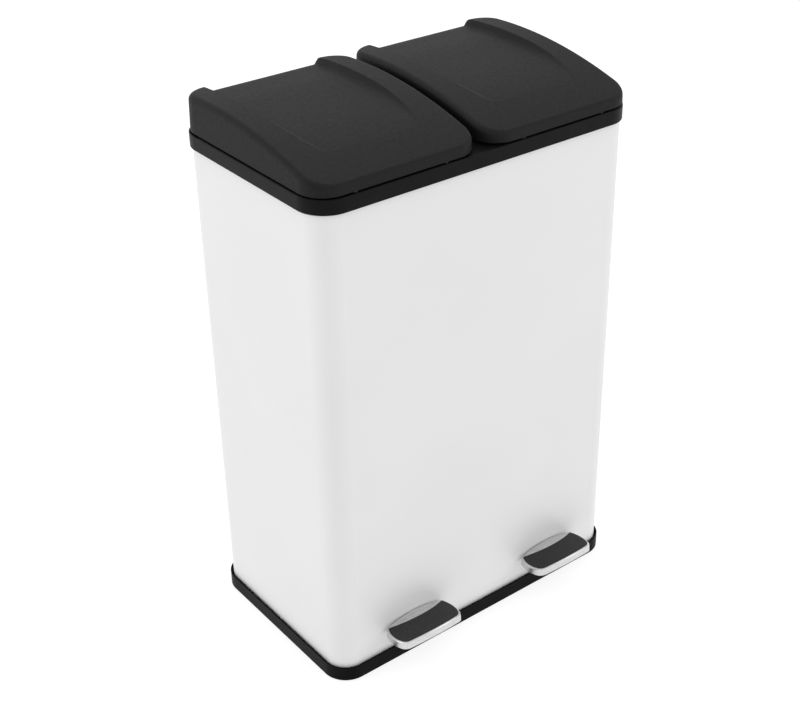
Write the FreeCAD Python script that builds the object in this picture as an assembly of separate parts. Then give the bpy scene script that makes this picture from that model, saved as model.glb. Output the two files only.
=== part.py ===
import FreeCAD, Part
import math
import os

from FreeCAD import Vector

# Double recycling bin: a painted steel body on a moulded base, a moulded collar
# with two hinged lids, two lift-out buckets, and for each lid a pedal, a lever
# and a push rod that lifts a horn under the lid.
# Right is +X, the pedals are at -Y, the hinges at +Y and up is +Z.
# Shapes are modelled about the middle of the body and moved on export, so that
# the origin is the middle of the whole footprint, on the floor.

# ---- Driving dimensions (mm, degrees) ---------------------------------------
body_width = 410.0
body_depth = 247.0
crest_height = 642.0        # highest line of the arched lids
body_corner = 25.5
sheet = 0.8                 # painted steel of the body
overhang = 4.0              # base and collar stand out this far past the body
wall = 2.2                  # moulded walls
rib_half = 1.0              # half the thickness of a stiffening rib
seat_gap = 0.2              # between faces that rest on one another
skin_gap = 0.3              # between a wall and the one it lies beside
past = 1.0                  # how far a cut runs past the face it opens

floor_gap = 1.5             # the base is held this far off the floor by its feet
foot_socket = 2.5           # depth of the pocket that each foot sits in
base_top = 19.0
base_skirt = 2.0
base_corner = 30.0
base_floor = 8.5            # underside of the base's floor
floor_thick = 2.5
ledge_thick = 2.0
shell_bottom = 6.0
upstand_top = 22.0
seam_half = 5.0             # half the width of the lock seam inside the back
rib_pitch = 60.0

collar_corner = 33.0
flange_thick = 2.4
opening_corner = 24.0
bridge_half = 9.0           # half the bar between the two openings

lid_height = 42.0           # from the collar's top to the crest of the lids
lid_gap = 8.0               # between the two lids
lid_corner = 30.0
lid_draft = 2.0             # each side leans in by this angle
lid_edge = 6.5              # rounding of the lid's top edge
crest_radius = 572.0
panel_sink = 6.3            # how far the middle panel lies below the side rails
panel_half = 65.5
panel_front_half = 50.0
panel_step = 8.0            # width of the slope beside the panel

pin_radius = 2.0
hub_radius = 5.5
ear_inset = 31.9            # from a lid's side to the middle of its nearer hinge lug
lug_thick = 6.0
ear_thick = 4.0
ear_foot_front = 4.0        # from the deck's front edge to the foot of an ear
ear_foot_back = 14.0        # and to its back, clear of the back edge of an open lid
hinge_side_gap = 0.4
running_gap = 0.08          # radial, between a pin and what turns on it

lid_travel = 70.0
pedal_travel = 10.0
rod_travel = 24.0

pedal_width = 89.0
pedal_reach = 46.9          # from the plate's back edge to its front
pedal_top = 56.0            # top of the plate where it is nearest the body
pedal_depth = 8.6           # height of the plate's rim
pedal_crown = 6.0           # the plate's middle stands this far above its ends
plate_sheet = 1.5
rim_width = 2.0             # silver rim around the pad
pad_thick = 1.6
pad_recess = 0.9
pad_glue = 0.05             # glue line under the pad
pad_dip = 12.5              # the pad's rear edge bows forwards this far

rivet_radius = 2.0
rivet_head = 3.6
rivet_head_thick = 1.6
slot_clear = 1.0            # beside the lever in the body's slot

lever_half = 11.0           # half the width of the lever channel
lever_sheet = 2.0
lever_web = 6.0             # top of the web above the axle
axle_radius = 4.0
bush_radius = 5.5
bush_collar = 0.8           # the sleeve stands out this far past each cheek
nose_radius = 3.5
axle_ear_thick = 4.0
axle_ear_radius = 8.5
axle_ear_gap = 1.2          # between the lever and each ear
axle_ear_foot = 18.0        # half the length of an ear's foot
clip_thick = 0.8
clip_groove = 0.8           # depth of the clip's groove

rod_radius = 3.0
foot_radius = 8.0
foot_thick = 3.0
cap_radius = 6.0
cap_height = 12.0
rod_gap = 0.15              # play at each end of the push rod
well_half = 13.0
well_wall = 2.5

platform_top = 64.0
platform_thick = 2.5
bucket_clear = 3.0          # around a bucket's flange inside the collar
bucket_wall = 1.8
bucket_taper = 9.0          # each side leans in this much from top to bottom
bucket_rim = 4.0
bucket_fillet = 5.0
slot_length = 100.0         # hand slots in the bucket's sides
slot_height = 22.0

foot_pad_radius = 11.0
screw_radius = 2.0
screw_head = 3.8
screw_head_thick = 1.2
screw_dome = 1.0
screw_drive = 1.2
boss_radius = 5.5

# ---- Derived places ----------------------------------------------------------
collar_top = crest_height - lid_height
collar_bottom = collar_top - 16.0
collar_skirt_bottom = collar_top - 28.0
shell_top = collar_top - 8.6
deck_top = collar_top - 6.0             # sunk deck under the hinges
bridge_web_bottom = collar_top - 25.0
guide_shelf = collar_top - 34.0
high_screw_z = collar_top - 12.5
low_screw_z = 16.0
bucket_top = collar_top - 12.0
lid_bottom = collar_top + 1.8
hinge_z = collar_top + 8.0
hinge_y = body_depth / 2 - 9.5
deck_front = hinge_y - 30.0
well_back = hinge_y - 4.0
opening_front = -body_depth / 2 + 7.5
opening_outer = body_width / 2 - 7.0
lid_reach = body_width / 2 + 2.8        # outer side of each lid
lid_front = -body_depth / 2 - 2.5
lid_back = body_depth / 2 + 0.1
crest_y = hinge_y - 57.0
panel_start = lid_front + 22.0          # where the panel leaves the arch
panel_full = hinge_y - 74.0             # where it has reached its full depth
pedal_x = body_width / 4                # pedals, levers and rods left and right of the middle
pedal_back = -body_depth / 2 - 1.6
pedal_front = pedal_back - pedal_reach
foot_x = body_width / 2 - 40.0
foot_y = body_depth / 2 - 35.5
wall_screw_x = body_width / 2 - 55.0
outer_width = body_width + 2 * overhang
outer_depth = body_depth + 2 * overhang
inner_half_x = body_width / 2 - sheet
inner_half_y = body_depth / 2 - sheet
lid_width = lid_reach - lid_gap / 2
ear_offset = lid_width / 2 - ear_inset  # hinge lugs left and right of the lid's middle
lid_depth = lid_back - lid_front
lid_x = lid_gap / 2 + lid_width / 2
lid_y = (lid_front + lid_back) / 2
cam_radius = rod_travel / math.radians(lid_travel)
rod_y = hinge_y - cam_radius
cap_top = hinge_z - rod_travel - rod_gap
rest_tilt = pedal_travel / 2
lever_reach = rod_travel / (2 * math.sin(math.radians(rest_tilt)))
pivot_y = rod_y - lever_reach
slope = math.tan(math.radians(rest_tilt))
pivot_z = (pedal_top - plate_sheet - (pedal_back + 1.4 - pivot_y) * -slope
           - lever_web / math.cos(math.radians(rest_tilt)))
nose_z = pivot_z - rod_travel / 2
rod_foot = nose_z + nose_radius + rod_gap
platform_bottom = platform_top - platform_thick
bucket_x = (bridge_half + opening_outer) / 2
bucket_width = opening_outer - bridge_half - 2 * bucket_clear
bucket_depth = deck_front - opening_front - 2 * bucket_clear
bucket_y = (deck_front + opening_front) / 2
bucket_bottom = platform_top + seat_gap
base_floor_top = base_floor + floor_thick
body_shift = -(pedal_front + outer_depth / 2) / 2

X_AXIS = Vector(1, 0, 0)
Y_AXIS = Vector(0, 1, 0)
Z_AXIS = Vector(0, 0, 1)
SIDES = {"left": -1, "right": 1}


# ---- Shape helpers -----------------------------------------------------------
def box(x0, x1, y0, y1, z0, z1):
    return Part.makeBox(x1 - x0, y1 - y0, z1 - z0, Vector(x0, y0, z0))


def rod_x(radius, x0, x1, y, z):
    """Cylinder along X."""
    return Part.makeCylinder(radius, x1 - x0, Vector(x0, y, z), X_AXIS)


def rod_z(radius, z0, z1, x, y):
    """Cylinder along Z."""
    return Part.makeCylinder(radius, z1 - z0, Vector(x, y, z0), Z_AXIS)


def union(first, *others):
    return first.fuse(list(others)).removeSplitter()


def rounded_outline(width, depth, corner, z, cx=0.0, cy=0.0):
    """Closed wire of a rounded rectangle at height z."""
    arcs = []
    for turn, (sx, sy) in enumerate(((1, 1), (-1, 1), (-1, -1), (1, -1))):
        centre = Vector(cx + sx * (width / 2 - corner), cy + sy * (depth / 2 - corner), z)
        start = turn * math.pi / 2
        arcs.append(Part.Arc(Part.Circle(centre, Z_AXIS, corner), start, start + math.pi / 2).toShape())
    edges = []
    for arc, following in zip(arcs, arcs[1:] + arcs[:1]):
        edges.append(arc)
        edges.append(Part.makeLine(arc.Vertexes[-1].Point, following.Vertexes[0].Point))
    return Part.Wire(edges)


def rounded_block(width, depth, corner, z0, z1, cx=0.0, cy=0.0):
    face = Part.Face(rounded_outline(width, depth, corner, z0, cx, cy))
    return face.extrude(Vector(0, 0, z1 - z0))


def rounded_ring(width, depth, corner, thick, z0, z1, cx=0.0, cy=0.0):
    """Upright wall of the given thickness inside a rounded rectangle."""
    outside = rounded_block(width, depth, corner, z0, z1, cx, cy)
    inside = rounded_block(width - 2 * thick, depth - 2 * thick, corner - thick, z0, z1, cx, cy)
    return outside.cut(inside)


def tapered_block(width, depth, corner, inset, z0, z1, cx, cy):
    """Rounded block whose sides lean in by inset from z0 to z1."""
    low = rounded_outline(width, depth, corner, z0, cx, cy)
    high = rounded_outline(width - 2 * inset, depth - 2 * inset, corner - inset, z1, cx, cy)
    return Part.makeLoft([low, high], True, True)


def side_plate(points, x0, x1):
    """Polygon of (y, z) points, extruded from x0 to x1."""
    corners = [Vector(x0, y, z) for y, z in points]
    return Part.Face(Part.makePolygon(corners + corners[:1])).extrude(Vector(x1 - x0, 0, 0))


def tangent_point(outside, centre, radius, side):
    """Where the line from a point (y, z) touches a circle, on the given side."""
    dy = outside[0] - centre[0]
    dz = outside[1] - centre[1]
    angle = math.atan2(dz, dy) + side * math.acos(radius / math.hypot(dy, dz))
    return (centre[0] + radius * math.cos(angle), centre[1] + radius * math.sin(angle))


def lug(root_a, root_b, x0, x1, centre, radius):
    """Ear from a root line to a round end; root_a lies clockwise from root_b."""
    points = [root_b, root_a, tangent_point(root_a, centre, radius, -1), centre,
              tangent_point(root_b, centre, radius, 1)]
    return union(side_plate(points, x0, x1), rod_x(radius, x0, x1, *centre))


def screw(x, y, z, direction, length):
    """Pan-head screw; its head's underside is at the point and its shank follows direction."""
    at = Vector(x, y, z)
    head = Part.makeCylinder(screw_head, screw_head_thick, at, direction * -1)
    dome = Part.makeCone(screw_head, screw_head - screw_dome, screw_dome,
                         at - direction * screw_head_thick, direction * -1)
    drive = Part.makeCylinder(screw_drive, screw_drive, at - direction * (screw_head_thick + screw_dome),
                              direction)
    shank = Part.makeCylinder(screw_radius, length, at, direction)
    return union(head, dome, shank).cut(drive)


def export(name, shape):
    shape = shape.copy()
    shape.translate(Vector(0, body_shift, 0))
    shape.exportStep("parts/" + name + ".step")


# ---- Fasteners' places ---------------------------------------------------------
def wall_screw_places(z):
    """Point and outward direction of the six screws that hold the body at height z."""
    head_x = inner_half_x - skin_gap - wall
    head_y = inner_half_y - skin_gap - wall
    places = []
    for sx in (-1, 1):
        places.append((Vector(sx * head_x, 0, z), Vector(sx, 0, 0)))
        for sy in (-1, 1):
            places.append((Vector(sx * wall_screw_x, sy * head_y, z), Vector(0, sy, 0)))
    return places


wall_screw_length = wall + skin_gap + sheet + 0.9
platform_screw_places = [(sx * (body_width / 2 - 17.0), sy * (body_depth / 2 - 63.5))
                         for sx in (-1, 1) for sy in (-1, 1)]


def wall_screw_holes(z):
    holes = [Part.makeCylinder(screw_radius, wall_screw_length + 4, at - out * 2, out)
             for at, out in wall_screw_places(z)]
    return Part.makeCompound(holes)


def wall_screws(z):
    return Part.makeCompound([screw(at.x, at.y, at.z, out, wall_screw_length)
                              for at, out in wall_screw_places(z)])


# ---- Body, base, collar ---------------------------------------------------------
def body_shell():
    """Wrapped steel sheet with a lock seam inside the back and a slot for each lever."""
    shell = rounded_ring(body_width, body_depth, body_corner, sheet, shell_bottom, shell_top)
    seam = box(-seam_half, seam_half, inner_half_y - sheet, inner_half_y + sheet / 2,
               upstand_top + 2, collar_skirt_bottom - 2)
    shell = union(shell, seam)
    tongue_high = pivot_z - slope * (-body_depth / 2 - pivot_y) + lever_web + 0.8
    tongue_low = pivot_z + slope * (-body_depth / 2 - pivot_y) + lever_web - lever_sheet - 1.8
    for side in SIDES.values():
        half = lever_half + slot_clear
        slot = box(side * pedal_x - half, side * pedal_x + half, -body_depth / 2 - past,
                   -inner_half_y + past, tongue_low, tongue_high)
        shell = shell.cut(slot)
    return shell.cut(wall_screw_holes(low_screw_z)).cut(wall_screw_holes(high_screw_z))


def rib_lines(half):
    """Evenly spaced ribs across a panel that reaches half to each side of the middle."""
    count = int((half - rib_pitch / 2) / rib_pitch)
    return [step * rib_pitch for step in range(-count, count + 1)]


def base_tray():
    """Skirt, ledge that the body stands on, upstand inside it, ribbed floor and axle ears."""
    skirt = rounded_ring(outer_width, outer_depth, base_corner, base_skirt, floor_gap, base_top)
    ledge_top = shell_bottom - seat_gap
    ledge_outer = rounded_block(outer_width - base_skirt, outer_depth - base_skirt,
                                base_corner - base_skirt / 2, ledge_top - ledge_thick, ledge_top)
    upstand_width = 2 * (inner_half_x - skin_gap)
    upstand_depth = 2 * (inner_half_y - skin_gap)
    upstand_corner = body_corner - sheet - skin_gap
    well = rounded_block(upstand_width - 2 * wall, upstand_depth - 2 * wall, upstand_corner - wall,
                         0, upstand_top)
    ledge = ledge_outer.cut(well)
    upstand = rounded_ring(upstand_width, upstand_depth, upstand_corner, wall,
                           ledge_top - ledge_thick, upstand_top)
    tray_floor = rounded_block(upstand_width - wall, upstand_depth - wall, upstand_corner - wall / 2,
                               base_floor, base_floor_top)
    ribs = []
    rib_low = floor_gap + 1
    for x in rib_lines(inner_half_x):
        ribs.append(box(x - rib_half, x + rib_half, -inner_half_y + past, inner_half_y - past,
                        rib_low, base_floor))
    for y in rib_lines(inner_half_y):
        ribs.append(box(-inner_half_x + past, inner_half_x - past, y - rib_half, y + rib_half,
                        rib_low, base_floor))
    for sx in (-1, 1):
        for sy in (-1, 1):
            ribs.append(rod_z(foot_pad_radius + 2.5, floor_gap, base_floor, sx * foot_x, sy * foot_y))
    for x, y in platform_screw_places:
        ribs.append(rod_z(screw_head + 3, rib_low, base_floor, x, y))
    for side in SIDES.values():
        ribs += axle_supports(side * pedal_x)
    base = union(skirt, ledge, upstand, tray_floor, *ribs)
    for sx in (-1, 1):
        for sy in (-1, 1):
            base = base.cut(rod_z(foot_pad_radius + seat_gap, 0, floor_gap + foot_socket,
                                  sx * foot_x, sy * foot_y))
    for x, y in platform_screw_places:
        base = base.cut(rod_z(screw_radius, 0, base_floor_top + 1, x, y))
        base = base.cut(rod_z(screw_head + 1, 0, base_floor - 0.5, x, y))
    for side in SIDES.values():
        for x, _ in axle_ear_spans(side * pedal_x):
            base = base.cut(rod_x(axle_radius, x - 1, x + 5, pivot_y, pivot_z))
    return base.cut(wall_screw_holes(low_screw_z))


def axle_ear_spans(x):
    """X range of the two ears beside a lever."""
    inner = lever_half + axle_ear_gap
    outer = inner + axle_ear_thick
    return [(x - outer, x - inner), (x + inner, x + outer)]


def axle_supports(x):
    """Two gusseted ears for the axle, and the stop that the lever's tail rests on."""
    pieces = []
    for x0, x1 in axle_ear_spans(x):
        root_z = base_floor_top - past
        pieces.append(lug((pivot_y - axle_ear_foot, root_z), (pivot_y + axle_ear_foot, root_z),
                          x0, x1, (pivot_y, pivot_z), axle_ear_radius))
        near, far = (x0 + 1, x0 - 8) if x0 < x else (x1 - 1, x1 + 8)
        corners = [Vector(gx, pivot_y - rib_half, gz)
                   for gx, gz in ((near, root_z), (far, root_z), (near, base_floor_top + 20))]
        gusset = Part.Face(Part.makePolygon(corners + corners[:1])).extrude(Vector(0, 2 * rib_half, 0))
        pieces.append(gusset)
    stop_top = nose_z - nose_radius - seat_gap
    pieces.append(rounded_block(18, 9, 2, base_floor_top - past, stop_top, x, rod_y))
    return pieces


def well_walls(x):
    """Open box under the deck that guides a push rod, open towards the bucket."""
    front = deck_front + 2
    back = well_back + well_wall
    outer = well_half + well_wall
    well_top = deck_top - flange_thick
    sides = [box(x + a, x + b, front, back, guide_shelf, well_top)
             for a, b in ((-outer, -well_half), (well_half, outer))]
    rear = box(x - outer, x + outer, well_back, back, guide_shelf, well_top)
    shelf = box(x - outer, x + outer, front, back, guide_shelf, guide_shelf + 3)
    return [*sides, rear, shelf]


def hinge_ear_spans(x):
    """X ranges of the collar's ears beside the two lugs of a lid."""
    inner = lug_thick / 2 + hinge_side_gap
    spans = []
    for middle in (x - ear_offset, x + ear_offset):
        spans.append((middle - inner - ear_thick, middle - inner))
        spans.append((middle + inner, middle + inner + ear_thick))
    return spans


def top_collar():
    """Moulded ring that caps the body: two openings, a sunk hinge deck, ears and rod wells."""
    outer = rounded_block(outer_width, outer_depth, collar_corner, collar_bottom, collar_top)
    outer = outer.makeFillet(1.4, [e for e in outer.Edges if e.BoundBox.ZMin > collar_top - 0.1])
    under = rounded_block(outer_width - 2 * wall, outer_depth - 2 * wall, collar_corner - wall,
                          collar_bottom, collar_top - flange_thick)
    collar = outer.cut(under)
    skirt_width = 2 * (inner_half_x - skin_gap)
    skirt_depth = 2 * (inner_half_y - skin_gap)
    skirt_corner = body_corner - sheet - skin_gap
    pieces = [rounded_ring(skirt_width, skirt_depth, skirt_corner, wall, collar_skirt_bottom,
                           collar_top - flange_thick + 0.5)]
    pocket = rounded_block(2 * lid_reach + 1.2, lid_depth + 1.2, lid_corner + 0.6, deck_top,
                           collar_top + 1, 0, lid_y)
    pocket = pocket.common(box(-outer_width, outer_width, deck_front + 2, outer_depth, deck_top,
                               collar_top + 1))
    deck = rounded_block(outer_width - 2 * wall + 1, outer_depth - 2 * wall + 1, collar_corner - wall,
                         deck_top - flange_thick, deck_top)
    deck = deck.common(box(-outer_width, outer_width, deck_front, outer_depth,
                           deck_top - flange_thick, deck_top))
    for x in rib_lines(inner_half_x):
        pieces.append(box(x - rib_half, x + rib_half, -outer_depth / 2 + past, -inner_half_y + past,
                          shell_top + seat_gap, collar_top - past))
    for y in rib_lines(inner_half_y):
        for sx in (-1, 1):
            x0, x1 = sorted((sx * (inner_half_x - past), sx * (outer_width / 2 - past)))
            pieces.append(box(x0, x1, y - rib_half, y + rib_half, shell_top + seat_gap,
                              collar_top - past))
    for sx in (-1, 1):
        x0, x1 = sorted((sx * (bridge_half - wall), sx * bridge_half))
        pieces.append(box(x0, x1, -inner_half_y + 1, deck_front + 2, bridge_web_bottom,
                          collar_top - 1))
    collar = collar.cut(pocket)
    for side in SIDES.values():
        opening_width = opening_outer - bridge_half
        opening_depth = deck_front - opening_front
        collar = collar.cut(rounded_block(opening_width, opening_depth, opening_corner,
                                          collar_bottom, collar_top + 1, side * bucket_x, bucket_y))
        pieces += well_walls(side * pedal_x)
        for x0, x1 in hinge_ear_spans(side * lid_x):
            pieces.append(lug((deck_front + ear_foot_front, deck_top - 1),
                              (deck_front + ear_foot_back, deck_top - 1),
                              x0, x1, (hinge_y, hinge_z), hub_radius))
    collar = union(collar, deck, *pieces)
    for side in SIDES.values():
        x = side * pedal_x
        notch = box(x - well_half, x + well_half, deck_front - past, well_back,
                    guide_shelf + 3, collar_top + past)
        collar = collar.cut(notch)
        collar = collar.cut(rod_z(rod_radius + 1.6, guide_shelf - 1, guide_shelf + 4, x, rod_y))
        for x0, x1 in hinge_ear_spans(side * lid_x):
            collar = collar.cut(rod_x(pin_radius, x0 - 1, x1 + 1, hinge_y, hinge_z))
    return collar.cut(wall_screw_holes(high_screw_z))


def bucket_platform():
    """Panel over the levers that the buckets stand on, with locating ridges and screw bosses."""
    width = 2 * inner_half_x - 4
    depth = 2 * inner_half_y - 4
    corner = body_corner - sheet - 2
    plate = rounded_block(width, depth, corner, platform_bottom, platform_top)
    pieces = [rounded_ring(width, depth, corner, 2.0, platform_bottom - 6, platform_bottom + 1)]
    for side in SIDES.values():
        pieces.append(rounded_ring(bucket_width - 2 * bucket_taper + 6, bucket_depth - 2 * bucket_taper + 6,
                                   opening_corner, 1.8, platform_top - 1, platform_top + 4,
                                   side * bucket_x, bucket_y))
    for x, y in platform_screw_places:
        pieces.append(rod_z(boss_radius, base_floor_top + seat_gap, platform_bottom + past, x, y))
        pieces.append(box(x - rib_half, x + rib_half, y - 12, y + 12, base_floor_top + seat_gap,
                          platform_bottom + past))
    plate = union(plate, *pieces)
    for x, y in platform_screw_places:
        plate = plate.cut(rod_z(screw_radius, base_floor, base_floor_top + 14, x, y))
    for side in SIDES.values():
        plate = plate.cut(rod_z(rod_radius + 0.4, platform_bottom - 1, platform_top + 5,
                                side * pedal_x, rod_y))
        front_notch = box(side * pedal_x - lever_half - 2, side * pedal_x + lever_half + 2,
                          -depth / 2 - 1, -depth / 2 + 6, platform_bottom - 7, platform_bottom)
        rear_notch = box(side * pedal_x - lever_half - 2, side * pedal_x + lever_half + 2,
                         depth / 2 - 6, depth / 2 + 1, platform_bottom - 7, platform_bottom)
        plate = plate.cut(front_notch).cut(rear_notch)
    return plate


def platform_screws():
    return Part.makeCompound([screw(x, y, base_floor - 0.5, Z_AXIS, 14) for x, y in platform_screw_places])


def foot_pad(sx, sy):
    pad = rod_z(foot_pad_radius, 0, floor_gap + foot_socket - seat_gap / 2, sx * foot_x, sy * foot_y)
    return pad.makeChamfer(0.8, [e for e in pad.Edges if e.BoundBox.ZMax < 0.1])


# ---- Lids -------------------------------------------------------------------------
def arch_height(y):
    """Height of the lid's side rails at y."""
    return crest_height - crest_radius + math.sqrt(crest_radius ** 2 - (y - crest_y) ** 2)


def panel_depth(y):
    """How far the panel lies below the rails: nothing at the front, growing smoothly."""
    t = min(max((y - panel_start) / (panel_full - panel_start), 0.0), 1.0)
    lift = 0.5
    return (panel_sink + lift) * t * t * (3 - 2 * t) - lift


def panel_half_width(y):
    """The panel's half width narrows along a curve towards the front."""
    t = min(max((panel_full - 20 - y) / (panel_full - 20 - panel_start), 0.0), 1.0)
    return panel_half - (panel_half - panel_front_half) * t * t


def panel_section(y, x, drop, grow):
    """Cross-section of what is taken out above the panel, with an S-shaped slope each side."""
    rim = arch_height(y) - drop
    low = rim - panel_depth(y)
    past_edge = max(y - (lid_back - lid_edge), 0.0)
    if past_edge > 0:
        bend = lid_edge - math.sqrt(max(lid_edge ** 2 - past_edge ** 2, 0.0))
        rim -= bend
        low -= bend
    half = panel_half_width(y) - grow
    roof = crest_height + 20
    slopes = []
    for sx in (1, -1):
        poles = [Vector(x + sx * (half + along * panel_step), y, low + rise * (rim + 1.5 - low))
                 for along, rise in ((0, 0), (0.45, 0), (0.6, 0.75), (1.15, 1))]
        curve = Part.BezierCurve()
        curve.setPoles(poles)
        slopes.append((poles, curve.toShape()))
    (right, right_edge), (left, left_edge) = slopes
    top_right = Vector(right[-1].x, y, roof)
    top_left = Vector(left[-1].x, y, roof)
    edges = [Part.makeLine(left[0], right[0]), right_edge, Part.makeLine(right[-1], top_right),
             Part.makeLine(top_right, top_left), Part.makeLine(top_left, left[-1]), left_edge]
    return Part.Wire(Part.__sortEdges__(edges))


def panel_tool(x, drop=0.0, grow=0.0):
    """Body that is cut from a lid's top to sink its panel."""
    length = lid_back - panel_start
    stations = [panel_start - 4]
    stations += [panel_start + share * length for share in (0.06, 0.15, 0.26, 0.37, 0.5, 0.63, 0.79, 0.92)]
    stations += [lid_back - rest for rest in (lid_edge, 3.4, 1.4, 0.4, -0.5)]
    sections = [panel_section(y, x, drop, grow) for y in stations]
    return Part.makeLoft(sections, True, False)


def lid_form(x, inset, drop):
    """Closed form of a lid: drafted sides under a long arch."""
    height = crest_height + 6 - lid_bottom
    lean = height * math.tan(math.radians(lid_draft))
    sides = tapered_block(lid_width - 2 * inset, lid_depth - 2 * inset, lid_corner - inset, lean,
                          lid_bottom, lid_bottom + height, x, lid_y)
    arch = rod_x(crest_radius - drop, x - lid_width, x + lid_width, crest_y,
                 crest_height - crest_radius)
    return sides.common(arch)


def horn(x):
    """Cam under the lid: an involute, so that the push rod's flat end lifts it evenly."""
    turns = 12
    curve = []
    for step in range(turns + 1):
        angle = math.radians(lid_travel) * step / turns
        reach = rod_travel - cam_radius * angle
        curve.append(Vector(x - 4, hinge_y - cam_radius * math.cos(angle) + reach * math.sin(angle),
                            hinge_z - cam_radius * math.sin(angle) - reach * math.cos(angle)))
    flank = Part.BSplineCurve()
    flank.interpolate(curve)
    corners = [curve[-1], Vector(x - 4, hinge_y, hinge_z), Vector(x - 4, hinge_y + 4, crest_height),
               Vector(x - 4, hinge_y - 34, crest_height),
               Vector(x - 4, hinge_y - cam_radius - 3.4, hinge_z - rod_travel + 1.6), curve[0]]
    outline = Part.Wire([flank.toShape()] + [Part.makeLine(a, b) for a, b in zip(corners, corners[1:])])
    return union(Part.Face(outline).extrude(Vector(8, 0, 0)),
                 rod_x(hub_radius, x - 4, x + 4, hinge_y, hinge_z))


def lid(side):
    """One-piece moulded lid: arched rails beside a sunk panel, ribs, hinge lugs and horn."""
    x = side * lid_x
    skin = lid_form(x, 0, 0)
    top_edges = [e for e in skin.Edges if e.BoundBox.ZMax > lid_bottom + 8
                 and e.BoundBox.ZMin > lid_bottom + 8]
    skin = skin.makeFillet(lid_edge, top_edges)
    skin = skin.cut(panel_tool(x))
    hollow = lid_form(x, wall, wall).cut(panel_tool(x, wall, wall / 2))
    ribbed = hollow.cut(hollow.translated(Vector(0, 0, -4)))
    ribs = [ribbed.common(box(x + dx - 0.8, x + dx + 0.8, lid_front, lid_back, lid_bottom,
                              crest_height)) for dx in (-44, -22, 22, 44)]
    parts = [lug((hinge_y + 6, crest_height), (hinge_y - 12, crest_height),
                 x + dx - lug_thick / 2, x + dx + lug_thick / 2, (hinge_y, hinge_z), hub_radius)
             for dx in (-ear_offset, ear_offset)]
    parts.append(horn(side * pedal_x))
    parts = [part.common(skin.fuse(box(x - lid_width, x + lid_width, lid_front, hinge_y + 7,
                                       hinge_z - 40, hinge_z + 1))) for part in parts]
    whole = union(skin.cut(hollow), *ribs, *parts)
    return whole.cut(rod_x(pin_radius + running_gap, x - lid_width / 2 + 8, x + lid_width / 2 - 8,
                           hinge_y, hinge_z))


def hinge_pin(side):
    """Steel rod through the ears and lugs of one lid, with a flat head on its outer end."""
    x = side * lid_x
    reach = ear_offset + lug_thick / 2 + hinge_side_gap + ear_thick
    pin = rod_x(pin_radius, x - reach - 2.5, x + reach, hinge_y, hinge_z)
    return union(pin, rod_x(pin_radius + 1.6, x + reach, x + reach + 1.4, hinge_y, hinge_z))


def hinge_washers():
    """Push-on washers on the plain ends of both hinge pins."""
    reach = ear_offset + lug_thick / 2 + hinge_side_gap + ear_thick
    rings = []
    for side in SIDES.values():
        x = side * lid_x - reach
        ring = rod_x(pin_radius + 2.2, x - 1.0, x, hinge_y, hinge_z)
        rings.append(ring.cut(rod_x(pin_radius, x - 2, x + 1, hinge_y, hinge_z)))
    return Part.makeCompound(rings)


def lid_bumpers():
    """Rubber buttons on the collar that the lids close on."""
    height = lid_bottom - collar_top - seat_gap
    return Part.makeCompound([rod_z(2.4, collar_top, collar_top + height, side * lid_x + dx,
                                    lid_front + 3.2) for side in SIDES.values() for dx in (-55, 55)])


# ---- Buckets ------------------------------------------------------------------------
def bucket(side):
    """Tapered liner with a rolled flange, a hand slot in each side and a footed bottom."""
    x = side * bucket_x
    width = bucket_width - 2 * bucket_rim
    depth = bucket_depth - 2 * bucket_rim
    corner = opening_corner - bucket_rim

    def cone(inset, z0):
        low = rounded_outline(width - 2 * bucket_taper - 2 * inset, depth - 2 * bucket_taper - 2 * inset,
                              corner - 4, z0, x, bucket_y)
        high = rounded_outline(width - 2 * inset, depth - 2 * inset, corner, bucket_top, x, bucket_y)
        return Part.makeLoft([low, high], True, True)

    outside = cone(0, bucket_bottom)
    low_edges = [e for e in outside.Edges if e.BoundBox.ZMax < bucket_bottom + 0.1]
    outside = outside.makeFillet(bucket_fillet, low_edges)
    inside = cone(bucket_wall, bucket_bottom)
    inside = inside.cut(box(x - width, x + width, -body_depth, body_depth, bucket_bottom - 1,
                            bucket_bottom + 4))
    inside_edges = [e for e in inside.Edges if e.BoundBox.ZMax < bucket_bottom + 4.1]
    inside = inside.makeFillet(bucket_fillet, inside_edges)
    flange = rounded_ring(bucket_width, bucket_depth, opening_corner - 3, bucket_rim + 1,
                          bucket_top - 2, bucket_top, x, bucket_y)
    lip = rounded_ring(bucket_width, bucket_depth, opening_corner - 3, 1.6, bucket_top - 9,
                       bucket_top, x, bucket_y)
    body = union(outside, flange, lip).cut(inside)
    underside = rounded_block(width - 2 * bucket_taper - 14, depth - 2 * bucket_taper - 14, corner - 9,
                              bucket_bottom - 1, bucket_bottom + 1.6, x, bucket_y)
    slot_high = bucket_top - 16
    slot = rounded_block(slot_length, slot_height, slot_height / 2 - 0.1, -body_width, body_width)
    slot.rotate(Vector(0, 0, 0), X_AXIS, 90)
    slot.rotate(Vector(0, 0, 0), Z_AXIS, 90)
    slot.translate(Vector(0, bucket_y, slot_high - slot_height / 2))
    slot = slot.common(box(x - width / 2 - 3, x + width / 2 + 3, -body_depth, body_depth, 0, collar_top))
    return body.cut(underside).cut(slot)


# ---- Pedal, lever, push rod ------------------------------------------------------------
def at_lever(shape, side):
    """Place a shape drawn about a level lever's axle at its resting tilt."""
    shape = shape.copy()
    shape.rotate(Vector(0, 0, 0), X_AXIS, -rest_tilt)
    shape.translate(Vector(side * pedal_x, pivot_y, pivot_z))
    return shape


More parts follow.
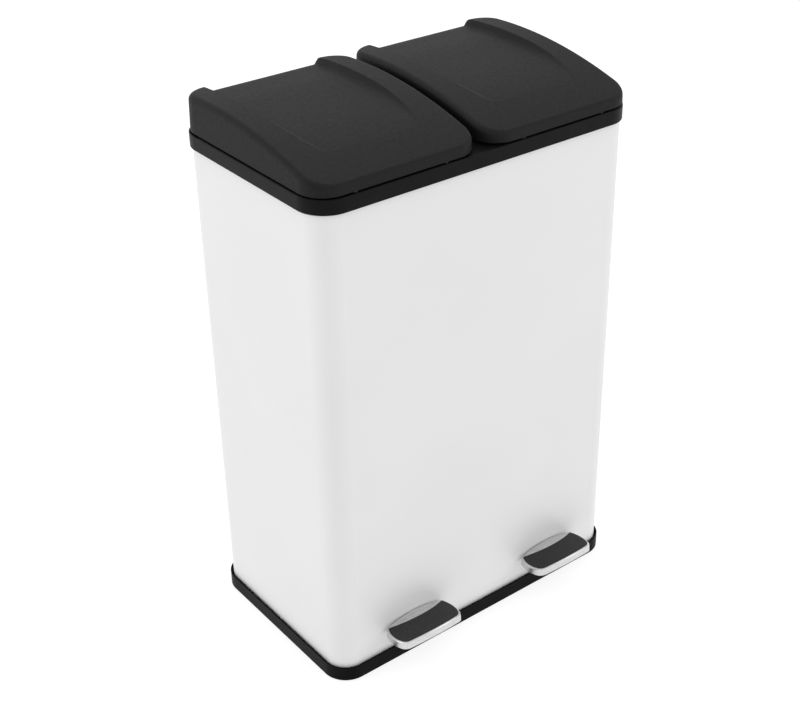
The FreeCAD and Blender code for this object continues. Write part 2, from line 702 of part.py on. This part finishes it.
def pedal_outline(inset, rear_dip):
    """Barrel outline about the lever: arched sides and front, and a rear edge that dips forwards."""
    back = pedal_back - pivot_y
    front = pedal_front - pivot_y + inset
    half = pedal_width / 2 - inset
    rear_corner = Vector(half - 3.5, back - 2.6 - inset, 0)
    front_corner = Vector(half - 4.5, front + 6.5, 0)
    widest = Vector(half, (back + front) / 2 + 6, 0)

    def mirrored(point):
        return Vector(-point.x, point.y, 0)

    rear = Part.Arc(rear_corner, Vector(0, back - inset - rear_dip, 0), mirrored(rear_corner))
    left = Part.Arc(mirrored(rear_corner), mirrored(widest), mirrored(front_corner))
    nose = Part.Arc(mirrored(front_corner), Vector(0, front, 0), front_corner)
    right = Part.Arc(front_corner, widest, rear_corner)
    return Part.Wire([arc.toShape() for arc in (rear, left, nose, right)])


def pedal_block(inset, rear_dip, rear_round, front_round, low, high):
    """Upright prism of the outline between two heights, with its four corners rounded."""
    block = Part.Face(pedal_outline(inset, rear_dip)).extrude(Vector(0, 0, high - low))
    block.translate(Vector(0, 0, low))
    middle = (pedal_back + pedal_front) / 2 - pivot_y
    upright = [e for e in block.Edges if e.BoundBox.ZLength > 0.9 * (high - low)]
    block = block.makeFillet(front_round, [e for e in upright if e.BoundBox.YMax < middle])
    upright = [e for e in block.Edges if e.BoundBox.ZLength > 0.9 * (high - low)
               and e.BoundBox.YMin > middle and e.BoundBox.YLength < 0.1]
    return block.makeFillet(rear_round, upright)


crown_radius = ((pedal_width / 2) ** 2 + pedal_crown ** 2) / (2 * pedal_crown)


def crown(top):
    """Wide cylinder along the lever whose highest line is at the given height."""
    middle = Vector(0, -300, top - crown_radius)
    cylinder = Part.makeCylinder(crown_radius, 400, middle, Y_AXIS)
    cylinder.rotate(middle, Y_AXIS, 180)
    return cylinder


def on_crown(edge, top):
    """Whether an edge lies on the crown of that height."""
    middle = edge.valueAt((edge.FirstParameter + edge.LastParameter) / 2)
    return abs(math.hypot(middle.x, middle.z - top + crown_radius) - crown_radius) < 0.01


def pedal_plate(side):
    """Pressed steel cap with a rounded rim, a recess for the pad and an open back for the lever."""
    top = lever_web + plate_sheet + pad_recess
    low = top - pedal_depth
    deep = low - pedal_crown - 4
    high = top + 5
    block = pedal_block(0, 0, 3.5, 12.0, deep, high).common(crown(top)).cut(crown(low))
    block = block.makeFillet(1.6, [e for e in block.Edges if on_crown(e, top)])
    hollow = pedal_block(plate_sheet, 0, 2.5, 10.5, deep - past, high).common(crown(lever_web))
    recess = pedal_block(rim_width, pad_dip, 1.5, 10.0, deep, high).cut(crown(lever_web + plate_sheet))
    mouth = box(-lever_half - 1, lever_half + 1, pedal_back - pivot_y - 10, pedal_back - pivot_y + 5,
                deep - past, lever_web).common(crown(lever_web))
    block = block.cut(hollow).cut(recess).cut(mouth)
    for y in pedal_rivet_places():
        block = block.cut(rod_z(rivet_radius, 0, top + past, 0, y))
    return at_lever(block, side)


def pedal_rivet_places():
    return (pedal_front - pivot_y + 12, pedal_front - pivot_y + 25)


def pedal_rivets(side):
    """Rivets that join plate and lever, with flat heads flush under the pad."""
    rivets = []
    for y in pedal_rivet_places():
        web_low = lever_web - lever_sheet
        shank = rod_z(rivet_radius, web_low, lever_web + plate_sheet - 0.4, 0, y)
        head = rod_z(rivet_head, web_low - rivet_head_thick, web_low, 0, y)
        rivets.append(at_lever(union(shank, head), side))
    return Part.makeCompound(rivets)


def pedal_pad(side):
    """Rubber tread in the plate's recess, with a softly rounded edge."""
    low = lever_web + plate_sheet + pad_glue
    block = pedal_block(rim_width + 0.1, pad_dip, 1.4, 9.9, low - pedal_crown - 4, low + 5)
    block = block.common(crown(low + pad_thick)).cut(crown(low))
    return at_lever(block, side)


def pedal_lever(side):
    """Folded steel channel on its axle: a flat tongue in front and a nose bar behind."""
    tongue_front = pedal_front - pivot_y + 8
    channel_front = -body_depth / 2 - pivot_y + 18
    web_back = lever_reach - 13
    tail = [(channel_front, lever_web), (web_back, lever_web), (lever_reach, 3.0),
            (lever_reach, -3.0), (lever_reach - 14, -5.0), (14, -8.0), (-14, -8.0), (channel_front, -1.0)]
    cheeks = [side_plate(tail, a, b) for a, b in ((-lever_half, lever_sheet - lever_half),
                                                 (lever_half - lever_sheet, lever_half))]
    web_low = lever_web - lever_sheet
    web = box(-lever_half, lever_half, channel_front, web_back, web_low, lever_web)
    tongue = box(-lever_half + 1, lever_half - 1, tongue_front, channel_front + past, web_low, lever_web)
    tip = [e for e in tongue.Edges if e.BoundBox.ZLength > 1 and e.BoundBox.YMax < tongue_front + 0.1]
    tongue = tongue.makeFillet(6, tip).common(crown(lever_web))
    nose = rod_x(nose_radius, -lever_half, lever_half, lever_reach, 0)
    lever = union(web, tongue, nose, *cheeks)
    lever = lever.cut(rod_x(bush_radius, -lever_half - 1, lever_half + 1, 0, 0))
    for y in pedal_rivet_places():
        lever = lever.cut(rod_z(rivet_radius, 0, lever_web + past, 0, y))
    return at_lever(lever, side)


def lever_bush(side):
    """Nylon sleeve pressed through both cheeks of the lever, turning on the axle."""
    reach = lever_half + bush_collar
    sleeve = rod_x(bush_radius, -reach, reach, 0, 0)
    sleeve = sleeve.cut(rod_x(axle_radius + running_gap, -lever_half - 2, lever_half + 2, 0, 0))
    return at_lever(sleeve, side)


def axle_ends(side):
    """X of the two outer faces of the ears that hold the axle."""
    spans = axle_ear_spans(side * pedal_x)
    return spans[0][0], spans[1][1]


def lever_axle(side):
    """Headed steel pin through both ears, grooved for its clip."""
    x0, x1 = axle_ends(side)
    axle = rod_x(axle_radius, x0 - 3, x1, pivot_y, pivot_z)
    head = rod_x(axle_radius + 2.5, x1, x1 + 2, pivot_y, pivot_z)
    groove = rod_x(axle_radius + 1, x0 - 1.2, x0 - 0.2, pivot_y, pivot_z)
    groove = groove.cut(rod_x(axle_radius - clip_groove, x0 - 2, x0 + 1, pivot_y, pivot_z))
    return union(axle, head).cut(groove)


def axle_clip(side):
    """Spring clip in the axle's groove, open on one side."""
    x0, _ = axle_ends(side)
    ring = rod_x(axle_radius + 3, x0 - 0.3 - clip_thick, x0 - 0.3, pivot_y, pivot_z)
    ring = ring.cut(rod_x(axle_radius - clip_groove, x0 - 2, x0 + 1, pivot_y, pivot_z))
    return ring.cut(box(x0 - 2, x0 + 1, pivot_y - 2.6, pivot_y + 2.6, pivot_z - 10, pivot_z))


def push_rod(side):
    """Steel rod with an upset foot that stands on the lever's nose."""
    x = side * pedal_x
    foot = rod_z(foot_radius, rod_foot, rod_foot + foot_thick, x, rod_y)
    foot = foot.makeChamfer(1.0, [e for e in foot.Edges if e.BoundBox.ZMin > rod_foot + foot_thick - 0.1])
    return union(foot, rod_z(rod_radius, rod_foot + 1, cap_top - 4, x, rod_y))


def rod_cap(side):
    """Nylon head on the rod's end; its flat top lifts the lid's horn."""
    x = side * pedal_x
    cap = rod_z(cap_radius, cap_top - cap_height, cap_top, x, rod_y)
    cap = cap.makeChamfer(0.8, [e for e in cap.Edges if e.BoundBox.ZMax < cap_top - cap_height + 0.1])
    return cap.cut(rod_z(rod_radius, cap_top - cap_height - 1, cap_top - 4, x, rod_y))


def rod_guide(side):
    """Flanged nylon bush in the collar's shelf that guides the rod."""
    x = side * pedal_x
    sleeve = rod_z(rod_radius + 1.6, guide_shelf - 1, guide_shelf + 3, x, rod_y)
    flange = rod_z(rod_radius + 4, guide_shelf - 2.2, guide_shelf, x, rod_y)
    return union(sleeve, flange).cut(rod_z(rod_radius + 0.1, guide_shelf - 4, guide_shelf + 5, x, rod_y))


# ---- Build --------------------------------------------------------------------------
os.makedirs("parts", exist_ok=True)

export("body_shell", body_shell())
export("base_tray", base_tray())
export("top_collar", top_collar())
export("bucket_platform", bucket_platform())
export("platform_screws", platform_screws())
export("base_screws", wall_screws(low_screw_z))
export("collar_screws", wall_screws(high_screw_z))
export("hinge_washers", hinge_washers())
export("lid_bumpers", lid_bumpers())
for front_name, sy in (("front", -1), ("rear", 1)):
    for side_name, sx in SIDES.items():
        export("foot_" + front_name + "_" + side_name, foot_pad(sx, sy))
for side_name, side in SIDES.items():
    pieces = {"lid": lid, "hinge_pin": hinge_pin, "bucket": bucket, "pedal_plate": pedal_plate,
              "pedal_pad": pedal_pad, "pedal_rivets": pedal_rivets, "pedal_lever": pedal_lever,
              "lever_bush": lever_bush, "lever_axle": lever_axle, "axle_clip": axle_clip,
              "push_rod": push_rod, "rod_cap": rod_cap, "rod_guide": rod_guide}
    for name, make in pieces.items():
        export(name + "_" + side_name, make(side))
print("origin shift", round(body_shift, 2), "rod y", round(rod_y, 2), "pivot", round(pivot_y, 2),
      round(pivot_z, 2), "cam radius", round(cam_radius, 3))
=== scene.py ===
import math

import bpy
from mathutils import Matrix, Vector

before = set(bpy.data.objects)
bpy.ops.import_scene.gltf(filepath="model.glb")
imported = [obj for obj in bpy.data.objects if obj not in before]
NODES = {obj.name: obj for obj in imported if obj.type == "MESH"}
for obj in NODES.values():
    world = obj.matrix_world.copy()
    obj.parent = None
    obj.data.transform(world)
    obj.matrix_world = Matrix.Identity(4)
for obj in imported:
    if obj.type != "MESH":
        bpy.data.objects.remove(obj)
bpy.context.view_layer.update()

# Looks of the double recycling bin: finishes, light, floor and camera.
# Every size is in metres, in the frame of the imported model, and texture scales are per metre.

MM = 0.001
WHITE = (1, 1, 1, 1)

FLOOR_HALF = 6.0
FLOOR_ROUGHNESS = 0.9
FLOOR_GLOW = 0.78           # keeps the floor as pale as the background

WORLD_STRENGTH = 1.0
# name, place, point aimed at, width across, watts
LAMPS = (
    ("left", (-2.2, 1.3, 1.4), (0, 0, 0.3), 1.4, 12),
    ("front", (1.7, -2.0, 1.3), (0, 0, 0.3), 1.4, 9),
    ("top", (0.3, 0.8, 2.6), (0, 0, 0.6), 1.2, 8),
)

# The photograph's view, fitted to the edges of body, collar and base.
PHOTO_WIDTH = 800
MIDDLE_COLUMN = 450.0
FOCAL_PIXELS = 1447.3
SENSOR_WIDTH = 36.0
CAMERA_AZIMUTH = math.radians(-39.083)
CAMERA_ELEVATION = math.radians(30.697)
CAMERA_PLACE = (-0.8815, -1.12955, 1.1645)


# ---- Node materials ----------------------------------------------------------
class Finish:
    """A principled material, with short calls for the nodes that feed it."""

    def __init__(self, name, metallic=0.0, specular=0.5):
        self.material = bpy.data.materials.new(name)
        self.material.use_nodes = True
        self.tree = self.material.node_tree
        self.shader = self.tree.nodes["Principled BSDF"]
        self.shader.inputs["Metallic"].default_value = metallic
        self.shader.inputs["Specular IOR Level"].default_value = specular
        self.place = self.tree.nodes.new("ShaderNodeTexCoord").outputs["Object"]
        self.normal = None

    def link(self, source, target):
        self.tree.links.new(source, target)

    def stretched(self, scale):
        """Object coordinates, scaled differently along each axis."""
        mapping = self.tree.nodes.new("ShaderNodeMapping")
        mapping.inputs["Scale"].default_value = scale
        self.link(self.place, mapping.inputs["Vector"])
        return mapping.outputs["Vector"]

    def noise(self, scale, detail=2.0, roughness=0.5, stretch=None):
        node = self.tree.nodes.new("ShaderNodeTexNoise")
        node.inputs["Scale"].default_value = scale
        node.inputs["Detail"].default_value = detail
        node.inputs["Roughness"].default_value = roughness
        self.link(self.stretched(stretch) if stretch else self.place, node.inputs["Vector"])
        return node.outputs["Fac"]

    def cells(self, scale, randomness=1.0):
        node = self.tree.nodes.new("ShaderNodeTexVoronoi")
        node.inputs["Scale"].default_value = scale
        node.inputs["Randomness"].default_value = randomness
        self.link(self.place, node.inputs["Vector"])
        return node.outputs["Distance"]

    def ramp(self, value, low, high, colour_low, colour_high):
        node = self.tree.nodes.new("ShaderNodeValToRGB")
        node.color_ramp.elements[0].position = low
        node.color_ramp.elements[1].position = high
        node.color_ramp.elements[0].color = (*colour_low, 1)
        node.color_ramp.elements[1].color = (*colour_high, 1)
        self.link(value, node.inputs["Fac"])
        return node.outputs["Color"]

    def span(self, value, low, high):
        """A 0 to 1 value, spread over a range."""
        node = self.tree.nodes.new("ShaderNodeMapRange")
        node.inputs["To Min"].default_value = low
        node.inputs["To Max"].default_value = high
        self.link(value, node.inputs["Value"])
        return node.outputs["Result"]

    def colour(self, value, colour_low, colour_high, low=0.3, high=0.7):
        self.link(self.ramp(value, low, high, colour_low, colour_high), self.shader.inputs["Base Color"])

    def rough(self, value, low, high):
        self.link(self.span(value, low, high), self.shader.inputs["Roughness"])

    def bump(self, value, strength, distance):
        node = self.tree.nodes.new("ShaderNodeBump")
        node.inputs["Strength"].default_value = strength
        node.inputs["Distance"].default_value = distance
        self.link(value, node.inputs["Height"])
        if self.normal:
            self.link(self.normal, node.inputs["Normal"])
        self.normal = node.outputs["Normal"]
        self.link(self.normal, self.shader.inputs["Normal"])


def grey(level, tint=0.0):
    """A neutral colour, a little cooler where tint is above 0."""
    return (level, level * (1 + tint / 2), level * (1 + tint))


def white_paint():
    """Powder coat on steel: faint orange peel and a slightly uneven gloss."""
    finish = Finish("white_powder_coat")
    finish.colour(finish.noise(6, 3), grey(0.655), grey(0.675))
    finish.rough(finish.noise(40, 4), 0.32, 0.42)
    finish.bump(finish.noise(520, 2), 0.05, 0.25 * MM)
    finish.bump(finish.noise(9, 2), 0.04, 1.0 * MM)
    return finish.material


def grained_lid():
    """Black moulding with a fine spark-eroded grain."""
    finish = Finish("grained_black_moulding", specular=0.16)
    finish.colour(finish.noise(900, 4, 0.6), grey(0.003), grey(0.010))
    finish.rough(finish.noise(260, 4), 0.5, 0.68)
    finish.bump(finish.cells(1050), 0.30, 0.25 * MM)
    finish.bump(finish.noise(1500, 3, 0.6), 0.35, 0.2 * MM)
    return finish.material


def black_moulding(name, specular):
    """Smooth black moulding of the base, collar and platform."""
    finish = Finish(name, specular=specular)
    finish.colour(finish.noise(60, 3), grey(0.002), grey(0.004))
    finish.rough(finish.noise(300, 4), 0.36, 0.5)
    finish.bump(finish.noise(900, 2), 0.12, 0.12 * MM)
    return finish.material


def satin_silver():
    """Pressed steel with a satin grain along the pedal's width."""
    finish = Finish("satin_pressed_steel", metallic=1.0)
    grain = finish.noise(700, 3, 0.6, stretch=(0.05, 1, 1))
    finish.colour(grain, grey(0.56), grey(0.70))
    finish.rough(grain, 0.22, 0.34)
    finish.bump(grain, 0.08, 0.05 * MM)
    return finish.material


def tread_rubber():
    """Dark grey rubber with a pebbled grain."""
    finish = Finish("pebbled_tread_rubber", specular=0.24)
    finish.colour(finish.noise(700, 4, 0.65), grey(0.018), grey(0.038))
    finish.rough(finish.noise(500, 3), 0.68, 0.86)
    finish.bump(finish.cells(900), 0.4, 0.3 * MM)
    return finish.material


def zinc_steel():
    """Bright zinc plate with a cloudy tone and drawing marks."""
    finish = Finish("bright_zinc_plate", metallic=1.0)
    finish.colour(finish.noise(140, 4), grey(0.50, 0.04), grey(0.63, 0.05))
    finish.rough(finish.noise(500, 3, stretch=(1, 1, 0.08)), 0.26, 0.46)
    finish.bump(finish.noise(900, 2, stretch=(1, 1, 0.05)), 0.06, 0.05 * MM)
    return finish.material


def natural_nylon():
    """Unpigmented nylon, slightly translucent and waxy."""
    finish = Finish("natural_nylon")
    finish.colour(finish.noise(200, 3), (0.72, 0.69, 0.60), (0.80, 0.77, 0.69))
    finish.rough(finish.noise(600, 2), 0.38, 0.52)
    finish.bump(finish.noise(1200, 2), 0.08, 0.08 * MM)
    finish.shader.inputs["Subsurface Weight"].default_value = 0.08
    return finish.material


def bucket_plastic():
    """Dark grey polypropylene with faint flow marks down its length."""
    finish = Finish("dark_grey_polypropylene")
    finish.colour(finish.noise(10, 3, stretch=(1, 1, 0.15)), grey(0.050), grey(0.062))
    finish.rough(finish.noise(350, 4), 0.42, 0.56)
    finish.bump(finish.noise(800, 3), 0.15, 0.12 * MM)
    return finish.material


def black_rubber():
    """Soft black rubber of feet and bumpers."""
    finish = Finish("soft_black_rubber")
    finish.colour(finish.noise(300, 3), grey(0.012), grey(0.022))
    finish.rough(finish.noise(700, 3), 0.7, 0.86)
    finish.bump(finish.noise(1000, 2), 0.2, 0.1 * MM)
    return finish.material


def dress(material, *names):
    """Give CAD nodes a finish."""
    for name in names:
        slots = NODES[name].data.materials
        slots.clear()
        slots.append(material)


def both(*names):
    """The names of the left and the right node of each pair."""
    return [name + side for name in names for side in ("_left", "_right")]


def dress_all():
    dress(white_paint(), "body_shell")
    dress(grained_lid(), *both("lid"))
    dress(black_moulding("base_black_moulding", 0.045), "base_tray", "bucket_platform")
    dress(black_moulding("collar_black_moulding", 0.09), "top_collar")
    dress(satin_silver(), *both("pedal_plate"))
    dress(tread_rubber(), *both("pedal_pad"))
    dress(zinc_steel(), "platform_screws", "base_screws", "collar_screws", "hinge_washers",
          *both("hinge_pin", "lever_axle", "axle_clip", "pedal_rivets", "pedal_lever", "push_rod"))
    dress(natural_nylon(), *both("rod_guide", "rod_cap", "lever_bush"))
    dress(bucket_plastic(), *both("bucket"))
    dress(black_rubber(), "lid_bumpers", *both("foot_front", "foot_rear"))


# ---- Studio --------------------------------------------------------------------
def floor():
    """Pale seamless sweep under the bin."""
    mesh = bpy.data.meshes.new("studio_floor")
    corners = [(x * FLOOR_HALF, y * FLOOR_HALF, 0) for x, y in ((-1, -1), (1, -1), (1, 1), (-1, 1))]
    mesh.from_pydata(corners, [], [(0, 1, 2, 3)])
    sweep = bpy.data.objects.new("studio_floor", mesh)
    bpy.context.scene.collection.objects.link(sweep)
    finish = Finish("pale_floor")
    finish.colour(finish.noise(2, 2), grey(0.28), grey(0.30))
    finish.shader.inputs["Roughness"].default_value = FLOOR_ROUGHNESS
    finish.shader.inputs["Emission Color"].default_value = WHITE
    finish.shader.inputs["Emission Strength"].default_value = FLOOR_GLOW
    mesh.materials.append(finish.material)


def area_light(name, place, aim, size, watts):
    """Round soft lamp that faces a point."""
    data = bpy.data.lights.new(name, "AREA")
    data.shape = "DISK"
    data.size = size
    data.energy = watts
    lamp = bpy.data.objects.new(name, data)
    lamp.location = place
    lamp.rotation_euler = (Vector(aim) - Vector(place)).to_track_quat("-Z", "Y").to_euler()
    bpy.context.scene.collection.objects.link(lamp)


def lights():
    """White surroundings and three soft lamps."""
    world = bpy.data.worlds.new("studio")
    world.use_nodes = True
    background = world.node_tree.nodes["Background"]
    background.inputs["Color"].default_value = WHITE
    background.inputs["Strength"].default_value = WORLD_STRENGTH
    bpy.context.scene.world = world
    for lamp in LAMPS:
        area_light(*lamp)


def camera():
    """Camera at the photograph's viewing angle; back points from the bin towards it."""
    level = math.cos(CAMERA_ELEVATION)
    back = Vector((math.sin(CAMERA_AZIMUTH) * level, -math.cos(CAMERA_AZIMUTH) * level,
                   math.sin(CAMERA_ELEVATION)))
    data = bpy.data.cameras.new("camera")
    data.sensor_width = SENSOR_WIDTH
    data.lens = FOCAL_PIXELS / PHOTO_WIDTH * SENSOR_WIDTH
    data.shift_x = (PHOTO_WIDTH / 2 - MIDDLE_COLUMN) / PHOTO_WIDTH
    view = bpy.data.objects.new("camera", data)
    view.location = CAMERA_PLACE
    view.rotation_euler = back.to_track_quat("Z", "Y").to_euler()
    bpy.context.scene.collection.objects.link(view)
    bpy.context.scene.camera = view


dress_all()
floor()
lights()
camera()
bpy.context.scene.view_settings.view_transform = "Standard"
